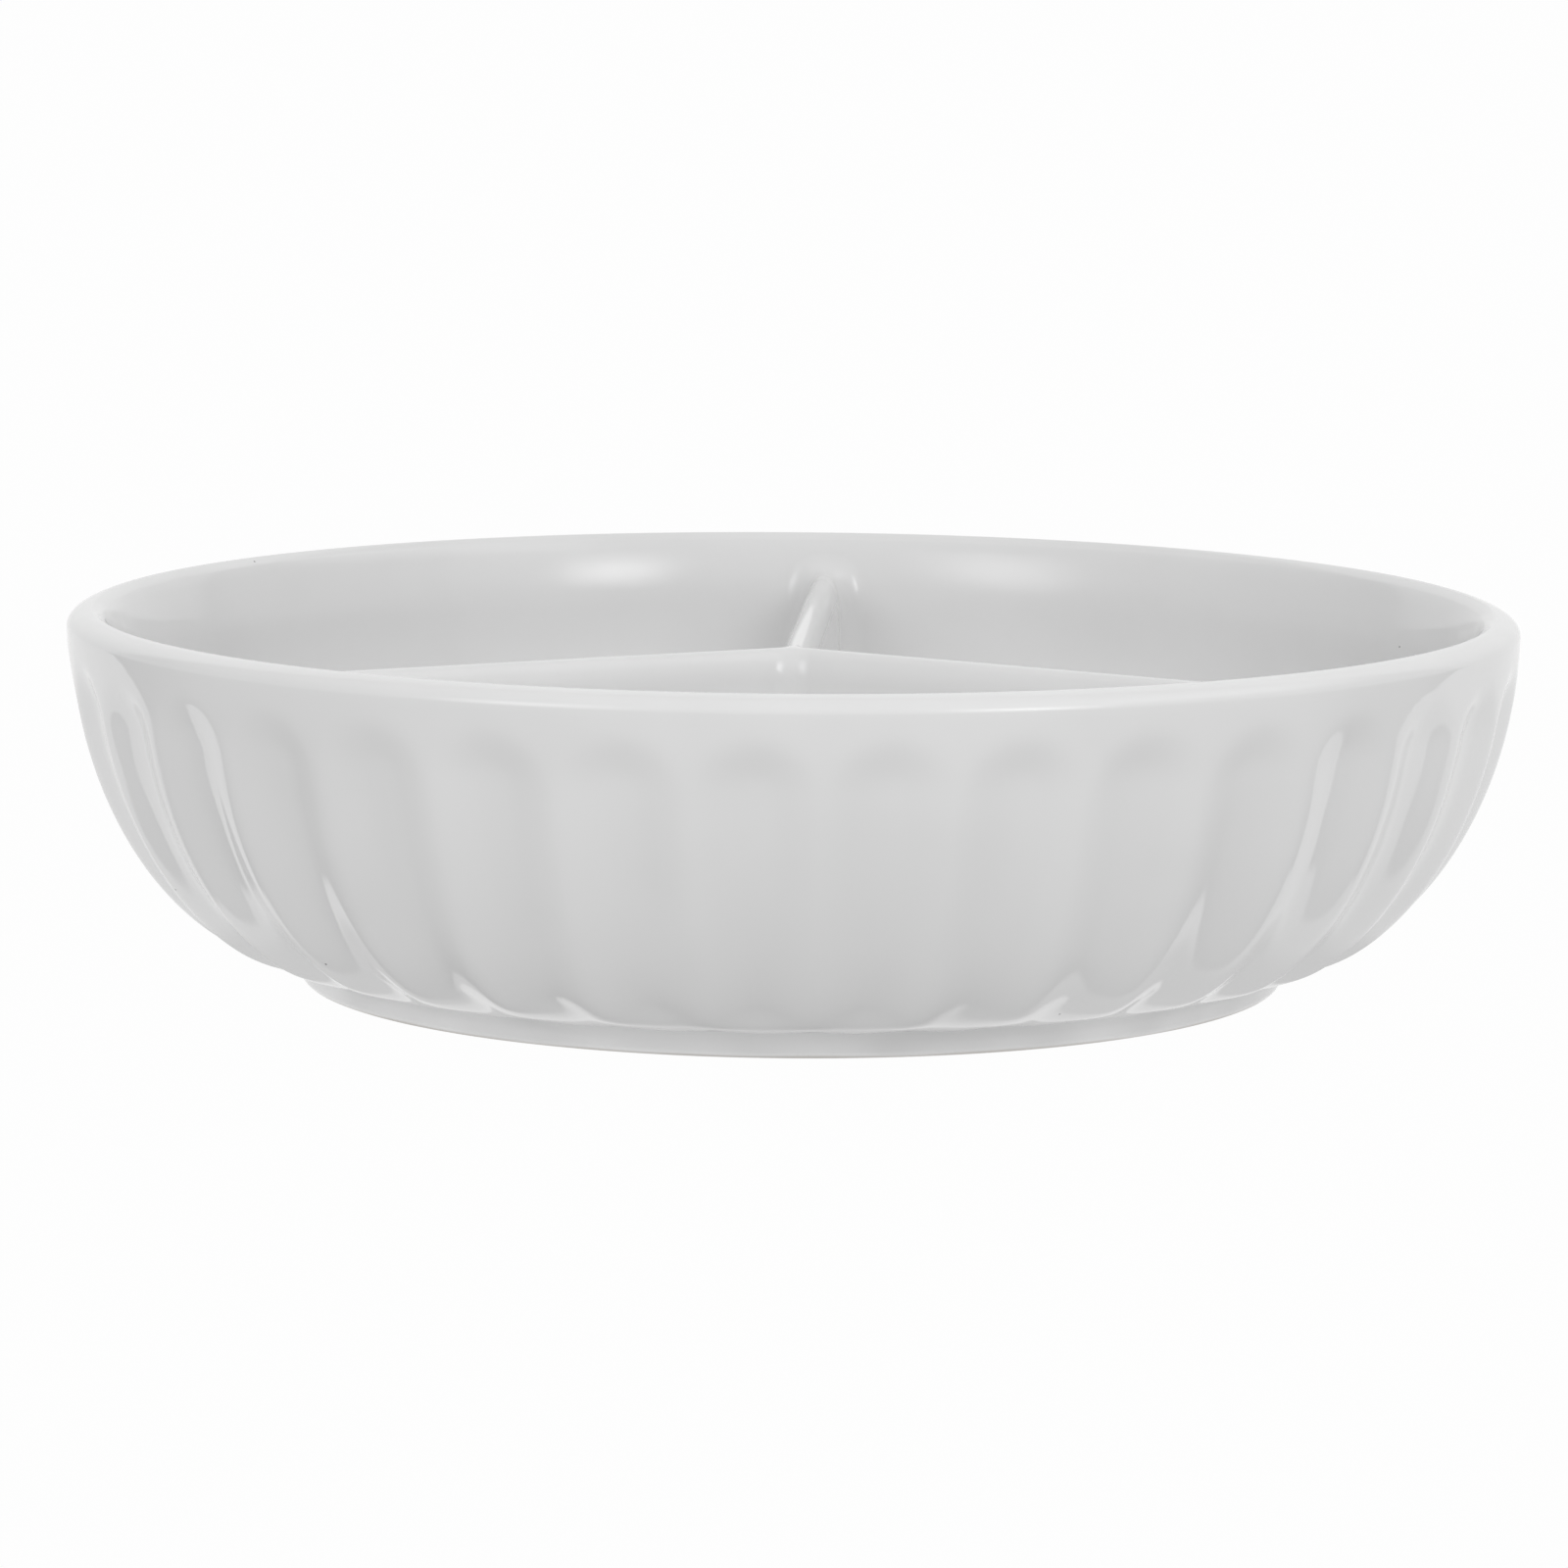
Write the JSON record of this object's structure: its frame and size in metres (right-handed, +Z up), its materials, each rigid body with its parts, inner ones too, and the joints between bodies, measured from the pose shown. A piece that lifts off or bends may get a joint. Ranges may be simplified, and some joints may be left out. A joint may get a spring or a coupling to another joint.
{
  "type": "divided cereal bowl",
  "caption": "Round low white glazed bowl with a fluted outside, a rounded lip and a foot ring; low walls meeting at the middle part the inside into equal bays.",
  "frame": {"origin": "centre of the foot ring's underside, on the surface that the bowl stands on", "axes": "+Z up along the bowl's axis; +Y along the rear divider, away from the front bay; +X to the right seen from the front"},
  "size_m": [0.2, 0.2, 0.0515],
  "materials": {
    "body_glaze": "clear gloss glaze over a white body",
    "foot_glaze": "clear gloss glaze, wiped bare on the standing edge",
    "divider_glaze": "clear gloss glaze over a white body"
  },
  "bodies": {
    "root": {"bowl_body": "body_glaze", "foot_ring": "foot_glaze", "divider_rear": "divider_glaze", "divider_left": "divider_glaze", "divider_right": "divider_glaze"}
  },
  "joints": []
}
